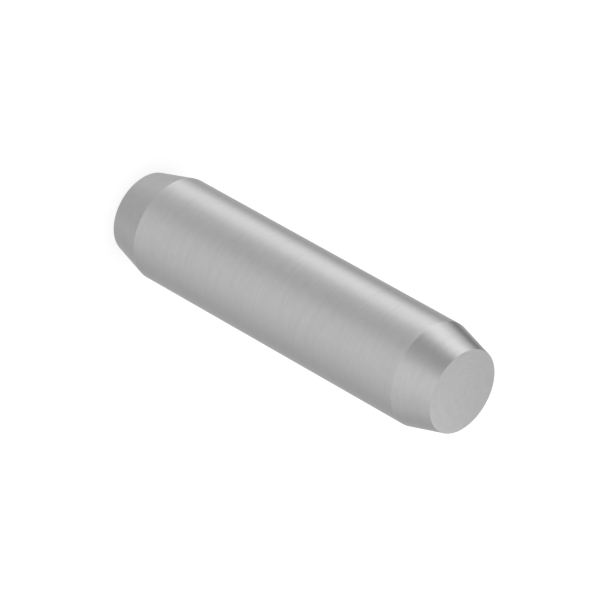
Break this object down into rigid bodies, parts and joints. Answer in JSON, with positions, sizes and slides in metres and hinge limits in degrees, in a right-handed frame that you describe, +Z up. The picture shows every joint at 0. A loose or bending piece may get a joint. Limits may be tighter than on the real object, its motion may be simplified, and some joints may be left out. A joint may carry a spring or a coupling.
{
  "type": "dowel pin",
  "caption": "Solid cylindrical dowel pin in ground steel, with a long tapered lead-in and a flat face at each end.",
  "frame": {"origin": "centre of the lower end face, which the pin stands on", "axes": "+Z up the axis of the pin, from the lower end face to the upper; the pin is round, so X and Y are free"},
  "size_m": [0.008, 0.008, 0.032],
  "materials": {
    "ground_steel": "ground and tumbled, satin, with very fine grinding lines round the shank"
  },
  "bodies": {
    "root": {"dowel_pin": "ground_steel"}
  },
  "joints": []
}
